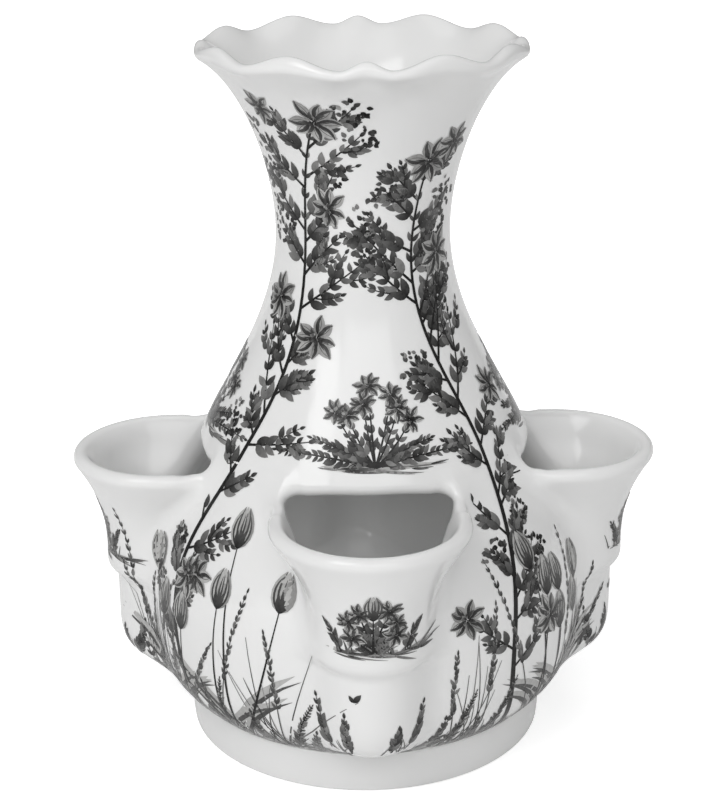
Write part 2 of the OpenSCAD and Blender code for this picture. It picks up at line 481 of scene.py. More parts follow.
if widest.normal.x < 0:
    bmesh.ops.reverse_faces(vessel, faces=vessel.faces)
    vessel.normal_update()

# Both ends of each mouth are rubbed smooth, where the pocket's lip runs out on the bulb
end_across, end_out, end_up = skin(np.array(corner_turn), np.array(mouth_end_z))
rub_reaches = (6.0, 7.5, 9.0, 11.0, 13.0)
mouth_ends = KDTree(8)
for pocket in range(4):
    turned = Matrix.Rotation(pocket * math.pi / 2, 3, "Z")
    for side in (1, -1):
        mouth_ends.insert(turned @ Vector((side * end_across, -end_out, end_up)), 0)
mouth_ends.balance()


def rub_mouth_ends(rounds):
    near = {vert: mouth_ends.find(vert.co)[2] for vert in vessel.verts if not vert.is_boundary}
    near = {vert: away for vert, away in near.items() if away < rub_reaches[-1]}
    for reach in rub_reaches * rounds:
        rubbed = [vert for vert, away in near.items() if away < reach]
        bmesh.ops.smooth_vert(
            vessel, verts=rubbed, factor=0.5, use_axis_x=True, use_axis_y=True, use_axis_z=True)
    vessel.normal_update()


rub_mouth_ends(1)


# The inner face follows the outer one, and each open edge of the wall is a half round
def grown_on(mesh, edges):
    # New points, and the new open edges, of a strip grown on from open edges
    grown = bmesh.ops.extrude_edge_only(mesh, edges=edges)["geom"]
    verts = [item for item in grown if isinstance(item, bmesh.types.BMVert)]
    fresh = set(verts)
    edges = [item for item in grown if isinstance(item, bmesh.types.BMEdge)]
    return verts, [edge for edge in edges if all(vert in fresh for vert in edge.verts)]


above_base = base[1] + 0.1
mouth_roll = 1.6
rim_roll = 0.8
roll_run = 16.0
lip_steps = 9
outer_faces = vessel.faces[:]
outer_normals = {vert: vert.normal.copy() for vert in vessel.verts}
lip_edges = [
    edge for edge in vessel.edges
    if edge.is_boundary and min(vert.co.z for vert in edge.verts) > above_base]
edge_pull = {}
for edge in lip_edges:
    face = edge.link_faces[0]
    edge_way = (edge.verts[1].co - edge.verts[0].co).normalized()
    away = (edge.verts[0].co + edge.verts[1].co) / 2 - face.calc_center_median()
    pull = edge_way.cross(face.normal)
    pull *= 1 if pull.dot(away) > 0 else -1
    for vert in edge.verts:
        edge_pull[vert] = edge_pull.get(vert, Vector()) + pull
near_lip = KDTree(len(edge_pull))
for order, vert in enumerate(edge_pull):
    near_lip.insert(vert.co, order)
near_lip.balance()
thickness = {}
for vert in outer_normals:
    roll = mouth_roll if vert.co.z < seam[1] else rim_roll
    thickness[vert] = wall + roll * float(eased(1 - near_lip.find(vert.co)[2] / roll_run))
inner = bmesh.ops.duplicate(vessel, geom=outer_faces)
inner_faces = [item for item in inner["geom"] if isinstance(item, bmesh.types.BMFace)]
for old, new in inner["vert_map"].items():
    if old in outer_normals:
        new.co = old.co - thickness[old] * outer_normals[old]
bmesh.ops.reverse_faces(vessel, faces=inner_faces)
lip_from = {}
for vert, pull in edge_pull.items():
    half = thickness[vert] / 2
    lip_from[vert] = (vert.co.copy(), outer_normals[vert] * half, pull.normalized() * half)
for step in range(1, lip_steps + 1):
    swing = math.pi * step / lip_steps
    new_verts, lip_edges = grown_on(vessel, lip_edges)
    next_from = {}
    for vert in new_verts:
        linked = [edge.other_vert(vert) for edge in vert.link_edges]
        start, out, pull = next(lip_from[other] for other in linked if other in lip_from)
        vert.co = start - out * (1 - math.cos(swing)) + pull * math.sin(swing)
        next_from[vert] = (start, out, pull)
    lip_from = next_from
bmesh.ops.remove_doubles(vessel, verts=vessel.verts, dist=0.01)
rub_mouth_ends(4)

# The rim is pressed into four wide scallops with a narrow cusp over each pocket
rim_h = 20.0
rim_swing = 0.6
half_lobe = 45.0
cusp_half = 9.0
cusp_part = 0.5
side_flat = 0.6
side_flat_run = 24.0


def pressed_rim(x, y, z):
    # Where a point of the plain rim goes when it is pressed, less over the side pockets
    angle = np.degrees(np.arctan2(y, x))
    off = np.abs((angle + half_lobe) % (2 * half_lobe) - half_lobe)
    cusp = -1 + (1 + cusp_part) * (1 + np.cos(math.pi * off / cusp_half)) / 2
    scallop = -np.cos(math.pi * (off - cusp_half) / ((half_lobe - cusp_half) / 2))
    from_side = 90.0 - np.abs(np.abs(angle) - 90.0)
    flat = 1 - side_flat * np.exp(-(from_side / side_flat_run) ** 2)
    rise = np.maximum((z - rim_seam_z) / rim_h, 0.0) ** 3
    grown = rise * np.where(off < cusp_half, cusp, scallop) * flat
    radius = np.hypot(x, y)
    part = (radius - rim_swing * grown) / radius
    return np.stack([x * part, y * part, z + rim_wave * grown], axis=-1)


rim_verts = [vert for vert in vessel.verts if vert.co.z > rim_seam_z]
for vert, place in zip(rim_verts, pressed_rim(*np.array([vert.co for vert in rim_verts]).T)):
    vert.co = place

# The bottom is closed below by a flat underside and inside by the reservoir's floor
underside_rings = [(74.0, 18.0), (40.0, 18.0), (4.0, 18.0)]
floor_rings = [(72.0, 23.2), (66.0, 23.8), (40.0, 24.0), (4.0, 24.0)]


def close_disc(mesh, edges, rings):
    for radius, z in rings:
        verts, edges = grown_on(mesh, edges)
        for vert in verts:
            shrink = radius / math.hypot(vert.co.x, vert.co.y)
            vert.co = (vert.co.x * shrink, vert.co.y * shrink, z)
    bmesh.ops.pointmerge(mesh, verts=verts, merge_co=(0, 0, rings[-1][1]))


open_edges = [edge for edge in vessel.edges if edge.is_boundary]
under_edges = [edge for edge in open_edges if max(vert.co.z for vert in edge.verts) < above_base]
floor_edges = [edge for edge in open_edges if edge not in under_edges]
close_disc(vessel, under_edges, underside_rings)
close_disc(vessel, floor_edges, floor_rings)
bmesh.ops.recalc_face_normals(vessel, faces=vessel.faces)
vessel.normal_update()
glaze_normal = vessel.verts.layers.float_vector.new("glaze_normal")
for vert in vessel.verts:
    vert[glaze_normal] = vert.normal
    vert.co *= to_metres
for face in vessel.faces:
    face.smooth = True
vessel_data = bpy.data.meshes.new("vessel")
vessel.to_mesh(vessel_data)
vessel.free()

# Glaze: thick glossy white over the whole vase, a little uneven where it ran and pooled
glaze_thin = (0.835, 0.837, 0.835, 1.0)
glaze_thick = (0.875, 0.874, 0.868, 1.0)
glaze_gloss = 0.11
glaze_dulling = 0.08
same_side = 0.7


def gloss_of(tone):
    # Object coordinates, the slow change where the glaze pooled, and its fine ripple
    place = tone.node("ShaderNodeTexCoord", output="Object")
    pool = tone.node("ShaderNodeTexNoise", Vector=place, Scale=22.0, Detail=3.0, Roughness=0.55)
    ripple = tone.node("ShaderNodeTexNoise", Vector=place, Scale=75.0, Detail=1.0)
    return place, pool, ripple


def rippled(tone, height):
    return tone.node("ShaderNodeBump", Strength=0.35, Distance=0.0004, Height=height)


glaze, glaze_shader, glaze_tone = new_finish("white_glaze")
glaze_place, glaze_pool, glaze_ripple = gloss_of(glaze_tone)
glaze_speck = glaze_tone.node("ShaderNodeTexVoronoi", Vector=glaze_place, Scale=420.0)
glaze_tint = glaze_tone.node(
    "ShaderNodeMix", {"data_type": "RGBA"}, output=2, i0=glaze_pool, i6=glaze_thin, i7=glaze_thick)
glaze_wave = rippled(glaze_tone, glaze_ripple + 0.03 * glaze_speck)
set_sockets(
    glaze_shader, Base_Color=glaze_tint, Roughness=glaze_gloss + glaze_dulling * glaze_pool,
    Normal=glaze_wave, IOR=1.5)


def skin_data(name, mesh, finish):
    # A part of the skin as a mesh of its own, shaded by the normals of the whole
    normals = mesh.verts.layers.float_vector["glaze_normal"]
    data = bpy.data.meshes.new(name)
    mesh.to_mesh(data)
    data.materials.append(finish)
    data.normals_split_custom_set_from_vertices([vert[normals] for vert in mesh.verts])
    mesh.free()
    data.attributes.remove(data.attributes["glaze_normal"])
    return data


def wall_piece(name, tag, side=None):
    mesh = bmesh.new()
    mesh.from_mesh(vessel_data)
    others = []
    for face in mesh.faces:
        outward = face.calc_center_median().xy.normalized()
        away = side is not None and outward.dot(Vector(side)) < same_side
        if face.material_index != tag or away:
            others.append(face)
    bmesh.ops.delete(mesh, geom=others, context="FACES")
    for face in mesh.faces:
        face.material_index = 0
    piece = bpy.data.objects.new(name + "_skin", skin_data(name, mesh, glaze))
    scene.collection.objects.link(piece)
    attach(piece, "root")
    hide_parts(name)


wall_piece("bulb", bulb_tag)
wall_piece("neck", neck_tag)
wall_piece("rim", rim_tag)
sides = {"front": (0, -1), "right": (1, 0), "back": (0, 1), "left": (-1, 0)}
for word, side in sides.items():
    wall_piece(word + "_pocket", pocket_tag, side)
    wall_piece(word + "_bead", bead_tag, side)
bpy.data.meshes.remove(vessel_data)


# Foot ring: a plain band of the same clay under the bulb, turned true on the wheel.
# Its resting face is wiped bare of glaze before firing, so it is matt and a little warm.
foot_profile = [
    (70.2, 0.0), (79.2, 0.0), (79.65, 4.5), (79.8, 9.0), (79.65, 13.5), (79.2, 18.0), (70.2, 18.0)]
foot_wear = 0.0012
foot_top = 0.0179
foot_outside = 0.079
longest_ring_edge = 0.004
level = 1e-6
biscuit_dark = (0.62, 0.58, 0.52, 1.0)
biscuit_light = (0.74, 0.71, 0.66, 1.0)
foot = bmesh.new()
foot_points = [foot.verts.new((radius * to_metres, 0.0, z * to_metres)) for radius, z in foot_profile]
foot_edges = [foot.edges.new((a, b)) for a, b in zip(foot_points, foot_points[1:] + foot_points[:1])]
bmesh.ops.spin(
    foot, geom=foot_points + foot_edges, cent=(0, 0, 0), axis=(0, 0, 1), angle=2 * math.pi, steps=192,
    use_merge=True)
bmesh.ops.remove_doubles(foot, verts=foot.verts, dist=1e-6)
bmesh.ops.recalc_face_normals(foot, faces=foot.faces)
worn = []
for edge in foot.edges:
    low, high = sorted(vert.co.z for vert in edge.verts)
    round_the_ring = high - low < level and edge.calc_length() < longest_ring_edge
    outer_top = low > foot_top and edge.verts[0].co.xy.length > foot_outside
    if round_the_ring and (high < level or outer_top):
        worn.append(edge)
bmesh.ops.bevel(
    foot, geom=worn, offset=foot_wear, affect="EDGES", segments=4, profile=0.5, material=-1)
for face in foot.faces:
    face.smooth = True
    if face.normal.z < -0.95:
        face.material_index = 1
foot_data = bpy.data.meshes.new("foot_ring")
foot.to_mesh(foot_data)
foot.free()
biscuit, biscuit_shader, biscuit_tone = new_finish("bare_clay")
biscuit_place = biscuit_tone.node("ShaderNodeTexCoord", output="Object")
biscuit_grain = biscuit_tone.node("ShaderNodeTexNoise", Vector=biscuit_place, Scale=900.0, Detail=4.0)
biscuit_tint = biscuit_tone.node(
    "ShaderNodeMix", {"data_type": "RGBA"}, output=2, i0=biscuit_grain, i6=biscuit_dark,
    i7=biscuit_light)
biscuit_rough = biscuit_tone.node("ShaderNodeBump", Strength=0.4, Distance=0.0002, Height=biscuit_grain)
set_sockets(biscuit_shader, Base_Color=biscuit_tint, Roughness=0.85, Normal=biscuit_rough)
foot_data.materials.append(glaze)
foot_data.materials.append(biscuit)
foot_ring = bpy.data.objects.new("foot_ring_band", foot_data)
scene.collection.objects.link(foot_ring)
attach(foot_ring, "root")
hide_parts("foot_ring")


# Brushwork: flowers, leafy branches and grasses painted by hand in black and grey under
# the glaze. Each stroke is a strip of thin colour that follows the skin, tapered like the
# mark of a round brush, and the whole is parted by the piece of clay that carries it.
chart_columns = 225
chart_rows = 564
chart_low_z = 18.0
chart_rows_per_mm = 2
chart_turns = np.linspace(0.0, eighth, chart_columns + 1)
chart_heights = chart_low_z + np.arange(chart_rows + 1) / chart_rows_per_mm
chart_radius = np.linalg.norm(skin(*np.meshgrid(chart_turns, chart_heights))[..., :2], axis=-1)
right_angle = math.pi / 2
pockets_apart = 2 * eighth
turn_step = 0.006
rise_step = 0.6


def pocket_turn(angle):
    return np.abs((angle + eighth) % pockets_apart - eighth)


def skin_radius(angle, z):
    # Radius of the skin at an angle round the vase, counted from the front, and a height
    across = np.clip(pocket_turn(angle) / eighth * chart_columns, 0, chart_columns - 0.001)
    up = np.clip((z - chart_low_z) * chart_rows_per_mm, 0, chart_rows - 0.001)
    row, column = up.astype(int), across.astype(int)
    s, t = up - row, across - column
    low = chart_radius[row, column] * (1 - t) + chart_radius[row, column + 1] * t
    high = chart_radius[row + 1, column] * (1 - t) + chart_radius[row + 1, column + 1] * t
    return low * (1 - s) + high * s


def skin_slopes(angle, z):
    per_turn = skin_radius(angle + turn_step, z) - skin_radius(angle - turn_step, z)
    per_rise = skin_radius(angle, z + rise_step) - skin_radius(angle, z - rise_step)
    return skin_radius(angle, z), per_turn / (2 * turn_step), per_rise / (2 * rise_step)


def moved(angle, z, heading, length):
    # Where a short move over the skin ends, with heading 0 to the right and a right angle up
    radius, per_turn, per_rise = skin_slopes(angle, z)
    sideways = np.hypot(radius, per_turn)
    shear = per_turn * per_rise / sideways
    rise = length * np.sin(heading) / np.sqrt(1 + per_rise ** 2 - shear ** 2)
    return angle + (length * np.cos(heading) - shear * rise) / sideways, z + rise


def drawn(angle, z, heading, length, bend, steps):
    # Paths of a set of strokes, as rows of angle, height and heading
    parts = np.broadcast_arrays(angle, z, heading, length, bend)
    angle, z, heading, length, bend = (np.ravel(part) for part in parts)
    path = [(angle, z, heading)]
    for _ in range(steps):
        angle, z = moved(angle, z, heading + bend / steps / 2, length / steps)
        heading = heading + bend / steps
        path.append((angle, z, heading))
    return np.array(path, dtype=float)


# Strokes lie in thin layers over the skin, in millimetres, with the washes lowest
off_skin = 0.06
wash_lift = 0.07
blade_lift = 0.09
stroke_lift = 0.12
petal_lift = 0.15
fold_lift = 0.18
heel_lift = 0.19
eye_lift = 0.2
brush_marks = []
hand = np.random.default_rng(3)


def paint(path, half_width, grey, lift=stroke_lift):
    # A set of strokes: half widths in millimetres, and grey 0 for black to 1 for the palest wash
    angle, z, heading = path[:, 0], path[:, 1], path[:, 2]
    half_width = np.broadcast_to(half_width, angle.shape)
    edges = [moved(angle, z, heading + right_angle, half_width * side) for side in (1, 0, -1)]
    angles = np.stack([edge[0] for edge in edges], axis=-1)
    heights = np.stack([edge[1] for edge in edges], axis=-1)
    lifts = off_skin + lift + 0.02 * hand.random(angle.shape[1])
    brush_marks.append((angles, heights, np.broadcast_to(grey, angle.shape), lifts))


def along(steps):
    return np.linspace(0.0, 1.0, steps + 1)[:, None]


def paint_leaves(angle, z, heading, length, half_width, grey, bend=0.0, fade=0.2, lift=stroke_lift):
    # Leaf marks: pressed down in the middle and lifted to a point, paler as the brush dries
    t = along(6)
    path = drawn(angle, z, heading, length, bend, 6)
    press = np.sin(math.pi * t ** 0.8) ** 0.9
    shade = np.clip(np.ravel(grey) + fade * t, 0, 1)
    paint(path, 0.05 + np.ravel(half_width) * press, shade, lift)


def paint_stem(angle, z, heading, length, bend, half_width, steps=20, grey=0.04, sway=0.0):
    # A stem that thins upwards, with a slow sway to both sides
    path = drawn(angle, z, heading, length, bend, steps)
    if sway:
        count = path.shape[2]
        swing = sway * np.sin(2 * math.pi * (along(steps) * 1.6 + hand.random(count)))
        path = [path[0]]
        for step in range(steps):
            a, h, way = path[-1]
            way = heading + bend * (step + 0.5) / steps + swing[step]
            a, h = moved(a, h, way, length / steps)
            path.append(np.array(np.broadcast_arrays(a, h, way)))
        path = np.array(path)
    paint(path, half_width * (1 - 0.75 * along(steps)) + 0.08, grey)
    return path


def paint_foliage(path, first, every, size, spread, grey=0.02, plump=0.2, taper=0.55):
    # Pairs of leaves up both sides of a stem, smaller towards its tip, and one leaf at the end
    rows = np.arange(first, path.shape[0] - 1, every)
    part = rows[:, None] / (path.shape[0] - 1)
    for side in (1, -1):
        angle, z, way = path[rows, 0], path[rows, 1], path[rows, 2]
        open_by = side * (spread + 0.18 * hand.standard_normal(angle.shape))
        length = size * (1 - taper * part) * (0.8 + 0.4 * hand.random(angle.shape))
        shade = grey + 0.38 * hand.random(angle.shape) ** 2.5
        paint_leaves(angle, z, way + open_by, length, plump * length, shade, bend=-0.45 * side)
    angle, z, way = path[-1]
    end = size * (1 - taper)
    paint_leaves(angle, z, way, end, plump * end, grey)


def paint_head(angle, z, across, count, dab=2.5, lift=stroke_lift):
    # A rounded flower head of many small dabs, paler on the lit side
    angle, z, across = np.broadcast_arrays(np.asarray(angle, float), z, across)
    way = 2 * math.pi * hand.random((count, angle.size))
    out = np.sqrt(hand.random((count, angle.size)))
    a, h = moved(angle[None], z[None], way, out * across[None] / 2)
    lit = np.clip(0.5 - 0.5 * np.cos(way) + 0.4 * np.sin(way), 0, 1) * out
    shade = 0.8 * lit * hand.random(way.shape)
    size = dab * (0.7 + 0.6 * hand.random(way.shape))
    paint_leaves(
        a, h, way + 0.9 * hand.standard_normal(way.shape), size, 0.34 * size, shade, bend=0.3,
        fade=0.1, lift=lift)


def paint_tulip(angle, z, heading, size):
    # A tulip's cup: grey washed petals, dark folds between them and a dark heel
    for lean, plump, grey in ((0.42, 0.2, 0.85), (-0.42, 0.2, 0.62), (0.0, 0.23, 0.95)):
        paint_leaves(
            angle, z, heading + lean, size, plump * size, grey, bend=-1.6 * lean, fade=0.05,
            lift=petal_lift)
    t = along(8)
    folds = ((0.95, 0.97), (0.5, 1.02), (0.12, 0.8), (-0.2, 0.85), (-0.55, 1.02), (-0.95, 0.97))
    for lean, reach in folds:
        path = drawn(angle, z, heading + lean, reach * size, -1.75 * lean, 8)
        paint(path, 0.1 + 0.022 * size * np.sin(math.pi * t), 0.05 + 0.25 * t, lift=fold_lift)
    for lean in (0.5, -0.5, 0.0):
        paint_leaves(
            angle, z, heading + lean, 0.45 * size, 0.07 * size, 0.02, bend=-lean, lift=heel_lift)


def paint_grass(angle, z, count, length, spread=0.5):
    # A tuft of thin blades from one foot
    angle = np.asarray(angle, float)
    lean = spread * hand.standard_normal((count, angle.size))
    tall = length * (0.5 + 0.7 * hand.random(lean.shape))
    height = np.full(lean.shape, z)
    start, _ = moved(angle[None], height, 0.0, 3.0 * hand.standard_normal(lean.shape))
    path = drawn(start, height, right_angle - lean, tall, -0.7 * lean, 7)
    paint(path, 0.34 * (1 - 0.8 * along(7)) + 0.05, 0.05 + 0.4 * hand.random(lean.size))


def paint_ground(angle, z, count, length, rise=1.6):
    # Broken strokes of ground, laid flat over each other
    angle = np.asarray(angle, float)
    across = length * (hand.random((count, angle.size)) - 0.5)
    up = rise * hand.random(across.shape)
    a, h = moved(angle[None], z + up, 0.0, across)
    reach = length * (0.15 + 0.3 * hand.random(across.shape))
    width = 0.22 + 0.5 * hand.random(across.shape) ** 2
    way = 0.12 * hand.standard_normal(across.shape)
    paint_leaves(a, h, way, reach, width, 0.5 * hand.random(across.shape) ** 2, fade=0.35)


def paint_bloom(angle, z, size):
    # An open flower seen from above: two rings of washed petals, dark on one side, round a dark eye
    angle, z, size = np.broadcast_arrays(np.asarray(angle, float), z, size)
    t = along(7)
    for petals, start, reach, plump, grey in ((8, 0.1, 0.43, 0.14, 0.85), (5, 0.03, 0.27, 0.11, 0.6)):
        way = 2 * math.pi * (np.arange(petals)[:, None] + hand.random(angle.size)) / petals
        way = way + 0.14 * hand.standard_normal(way.shape)
        across = np.tile(size, petals)
        a, h = moved(angle[None], z[None] + 0 * way, way, start * size[None])
        long = reach * size[None] * (0.8 + 0.4 * hand.random(way.shape))
        tone = grey * (0.55 + 0.5 * hand.random(way.shape))
        paint_leaves(a, h, way, long, plump * across, tone, lift=petal_lift)
        dark_side = drawn(a, h, way + 0.5, 1.03 * long, -1.15, 7)
        dark_press = 0.1 + 0.035 * across * np.sin(math.pi * t)
        paint(dark_side, dark_press, 0.02 + 0.2 * t, lift=fold_lift)
        pale_side = drawn(a, h, way - 0.5, 1.03 * long, 1.15, 7)
        paint(pale_side, 0.07 + 0.08 * np.sin(math.pi * t), 0.1 + 0.3 * t, lift=fold_lift)
        paint_leaves(a, h, way, 0.5 * long, 0.3, 0.0, lift=fold_lift)
    paint_head(angle, z, 0.2 * size, 12, dab=1.5, lift=eye_lift)


def round_vase(*degrees):
    return np.radians(np.array(degrees, dtype=float))


# Four tall branches climb from the ground between the pockets over the shoulder to the neck
branch_steps = 60
first_twig = 9.0
shoulder_step = 27
neck_step = 44
branch_feet = round_vase(-53, 41, 128, 221)
branch_lengths = np.array([284.0, 262.0, 274.0, 266.0])
branches = paint_stem(
    branch_feet, 22.0, right_angle + round_vase(0, -2, 3, -2), branch_lengths,
    bend=round_vase(-14, 6, -12, 10), half_width=1.35, steps=branch_steps, sway=0.2)
for branch, side in enumerate((1, -1, -1, 1)):
    row = first_twig
    while row < branch_steps - 1:
        start = branches[int(row), :, branch:branch + 1]
        shorter = 0.95 if row < shoulder_step else 1.3 - 0.011 * (row - shoulder_step)
        reach = (12.0 + 24.0 * hand.random()) * shorter
        twigs = paint_stem(
            start[0], start[1], start[2] + side * (0.55 + 0.55 * hand.random()), reach,
            bend=side * (0.9 * hand.random() - 0.6), half_width=0.5, steps=12)
        paint_foliage(twigs, 2, 2, size=8.2, spread=0.75, plump=0.23)
        for node, fork in ((3, side), (6, -side), (8, side)):
            if reach > 16 and hand.random() < 0.75:
                angle, z, way = twigs[node]
                forks = paint_stem(
                    angle, z, way + 0.75 * fork, (0.25 + 0.25 * hand.random()) * reach,
                    bend=-0.5 * fork, half_width=0.3, steps=8)
                paint_foliage(forks, 2, 2, size=6.2, spread=0.75, plump=0.24)
        ending = hand.random()
        if ending < 0.34:
            paint_bloom(*twigs[-1, :2], 14.0 + 7.0 * hand.random(1))
        elif ending < 0.75:
            paint_head(*twigs[-1, :2], 8.0 + 8.0 * hand.random(1), 24)
        row += (1.3 + 2.0 * hand.random()) * (1.0 if row < neck_step else 0.68)
        side = -side if hand.random() < 0.85 else side
paint_foliage(branches, 50, 2, size=8.0, spread=0.7)
paint_bloom(*branches[-1, :2], 20.0)

# Tulips stand in the open fields of the bulb, in groups of three with long leaves
group_feet = round_vase(-39, 54, 63, 144, 232, 245, 298)
below_lip = np.where(pocket_turn(group_feet) < math.radians(34), 0.74, 1.0)
for shift, tall, lean in ((-2.5, 60.0, 0.18), (0.0, 84.0, -0.03), (2.75, 70.0, -0.22)):
    feet = group_feet + math.radians(shift)
    stalks = paint_stem(
        feet, 23.0, right_angle + lean + 0.08 * hand.standard_normal(feet.shape),
        tall * below_lip * (0.85 + 0.25 * hand.random(feet.shape)), bend=-lean, half_width=0.65)
    paint_tulip(*stalks[-1], 18.0)
    for side in (1, -1):
        reach = tall * (0.5 + 0.2 * hand.random(feet.shape))
        way = right_angle + side * (0.25 + 0.15 * hand.random(feet.shape))
        paint_leaves(feet, 24.0, way, reach, 2.7, 0.8, bend=0.8 * side, lift=blade_lift)
        paint_leaves(feet, 24.0, way + 0.04 * side, reach, 1.1, 0.06, bend=0.85 * side)

# Tall grasses, ferns, round-leaved sprigs and broken ground run round the foot
reed_feet = round_vase(-72, -63, -27, 26, 71, 108, 117, 154, 205, 252, 286)
paint_grass(reed_feet, 22.0, count=9, length=52.0, spread=0.2)
fern_feet = round_vase(-66, -41, -21, 20, 33, 67, 111, 123, 157, 203, 214, 247, 291)
ferns = paint_stem(
    fern_feet, 21.0, right_angle + 0.25 * hand.standard_normal(fern_feet.shape), 36.0,
    bend=0.4 * hand.standard_normal(fern_feet.shape), half_width=0.45, steps=22)
paint_foliage(ferns, 3, 1, size=5.6, spread=0.85, plump=0.18, taper=0.75)
sprig_feet = round_vase(
    -77, -58, -46, -29, -15, -9, 12, 17, 28, 47, 59, 76, 102, 116, 135, 150, 163, 197, 209, 228,
    241, 256, 282, 294, 312)
sprigs = paint_stem(
    sprig_feet, 20.5, right_angle + 0.3 * hand.standard_normal(sprig_feet.shape),
    17.0 + 16.0 * hand.random(sprig_feet.shape),
    bend=0.3 * hand.standard_normal(sprig_feet.shape), half_width=0.42, steps=14)
paint_foliage(sprigs, 2, 2, size=6.0, spread=0.7, plump=0.27)
tuft_feet = np.radians(np.arange(0, 360, 6) + 2.0 * hand.standard_normal(60))
paint_leaves(
    tuft_feet, 20.6, 0.1 * hand.standard_normal(60), 20.0, half_width=1.7, grey=0.95, fade=0.05,
    lift=wash_lift)
paint_grass(tuft_feet, 20.2, count=7, length=15.0)
paint_ground(tuft_feet, 19.4, count=6, length=20.0)

# Seed grasses stand among the tulips, thin and grey, with their grains up both sides
seed_feet = round_vase(
    -75, -69, -60, -44, -25, 23, 30, 49, 58, 66, 74, 106, 114, 121, 136, 146, 155, 206, 215, 230,
    239, 248, 256, 285, 292, 303, 311)
seed_stems = paint_stem(
    seed_feet, 21.0, right_angle + 0.16 * hand.standard_normal(seed_feet.shape),
    52.0 + 44.0 * hand.random(seed_feet.shape),
    bend=0.4 * hand.standard_normal(seed_feet.shape), half_width=0.26, steps=24, grey=0.2)
paint_foliage(seed_stems, 11, 1, size=5.2, spread=0.45, grey=0.05, plump=0.17, taper=0.5)

# A posy stands over each pocket, between two low sprays
posy_z = 144.0
pocket_middles = round_vase(0, 90, 180, 270)
posy_feet = pocket_middles + 0.04
paint_leaves(
    posy_feet - 0.33, posy_z, 0.0, 48.0, half_width=2.0, grey=0.95, fade=0.05, lift=wash_lift)
for lean in np.linspace(-0.8, 0.8, 7):
    stalks = paint_stem(
        posy_feet, posy_z, right_angle - lean + 0.05 * hand.standard_normal(4),
        (34.0 - 11.0 * abs(lean)) * (0.85 + 0.3 * hand.random(4)), bend=0.35 * lean, half_width=0.4,
        steps=12)
    paint_foliage(stalks, 3, 2, size=5.2, spread=0.7, plump=0.22)
    paint_bloom(*stalks[-1, :2], 11.0)
for side in (1, -1):
    for drop, reach in ((1.3, 40.0), (1.0, 27.0)):
        sprays = paint_stem(
            posy_feet, posy_z, right_angle - side * drop, reach * (0.9 + 0.2 * hand.random(4)),
            bend=-0.35 * side, half_width=0.45, steps=16)
        paint_foliage(sprays, 2, 1, size=6.0, spread=0.8)
paint_ground(posy_feet, 142.4, count=18, length=48.0)

# A flowering plant grows on each cup, from a line of ground on the collar
cup_plant = (
    (0.0, 15.0), (0.45, 21.0), (-0.45, 19.0), (0.85, 17.0), (-0.85, 18.0), (1.2, 13.0), (-1.2, 12.0))
cup_tufts = np.concatenate([pocket_middles + shift for shift in (0.06, -0.11, 0.12)])
paint_leaves(
    pocket_middles - 0.17, 84.6, 0.0, 36.0, half_width=1.5, grey=0.95, fade=0.05, lift=wash_lift)
for lean, tall in cup_plant:
    stalks = paint_stem(
        pocket_middles - 0.012 * np.sign(lean), 84.5, right_angle - lean, tall, bend=0.4 * lean,
        half_width=0.5, steps=10)
    paint_foliage(stalks, 2, 2, size=6.4, spread=0.75, plump=0.23)
    if lean:
        paint_bloom(*stalks[-1, :2], 10.5)
    else:
        paint_tulip(*stalks[-1], 13.0)
for side in (1, -1):
    tufts = paint_stem(
        pocket_middles + 0.11 * side, 84.3, right_angle - 0.4 * side, 14.0, bend=-0.3 * side,
        half_width=0.36, steps=8)
    paint_foliage(tufts, 1, 1, size=5.0, spread=0.7)
paint_ground(pocket_middles, 83.0, count=34, length=40.0, rise=1.4)
paint_grass(cup_tufts, 84.0, count=7, length=7.0)

# Sprigs start up each sleeve from below, with a fallen leaf above them
sleeve_sprigs = ((-0.15, 0.35, 24.0), (-0.08, 0.05, 19.0), (0.07, -0.1, 13.0), (0.13, -0.4, 21.0))
sleeve_tufts = np.concatenate([pocket_middles + shift for shift in (-0.11, 0.1)])
for shift, lean, tall in sleeve_sprigs:
    sprigs = paint_stem(
        pocket_middles + shift, 34.0, right_angle + lean, tall, bend=-0.3 * lean, half_width=0.45,
        steps=14)
    paint_foliage(sprigs, 2, 2, size=6.2, spread=0.7, plump=0.27)
paint_grass(sleeve_tufts, 33.0, count=6, length=11.0, spread=0.35)
paint_leaves(pocket_middles - 0.07, 60.0, 0.9, 5.0, half_width=1.2, grey=0.0)
paint_leaves(pocket_middles - 0.07, 60.0, 2.2, 3.6, half_width=0.9, grey=0.02)

# Ink: iron and manganese black, thinned to grey in the washes, under the same clear gloss
ink_black = (0.008, 0.0078, 0.0076, 1.0)
ink_grey = (0.5, 0.498, 0.49, 1.0)
ink, ink_shader, ink_tone = new_finish("painted_ink")
ink_place, ink_pool, ink_ripple = gloss_of(ink_tone)
ink_load = ink_tone.node("ShaderNodeAttribute", {"attribute_name": "grey"}, output="Fac")
ink_drag = ink_tone.node(
    "ShaderNodeTexNoise", Vector=ink_place, Scale=520.0, Detail=3.0, Roughness=0.6)
ink_wash = ink_load + (0.1 + 0.5 * ink_load) * (ink_drag - 0.5)
ink_wash = ink_wash.maths("MAXIMUM", ink_wash, 0.0)
ink_wash = ink_wash.maths("POWER", ink_wash, 1.15)
ink_tint = ink_tone.node(
    "ShaderNodeMix", {"data_type": "RGBA", "clamp_factor": True}, output=2, i0=ink_wash,
    i6=ink_black, i7=ink_grey)
set_sockets(
    ink_shader, Base_Color=ink_tint, Roughness=glaze_gloss + glaze_dulling * ink_pool,
    Normal=rippled(ink_tone, ink_ripple), IOR=1.5, Specular_IOR_Level=0.15)


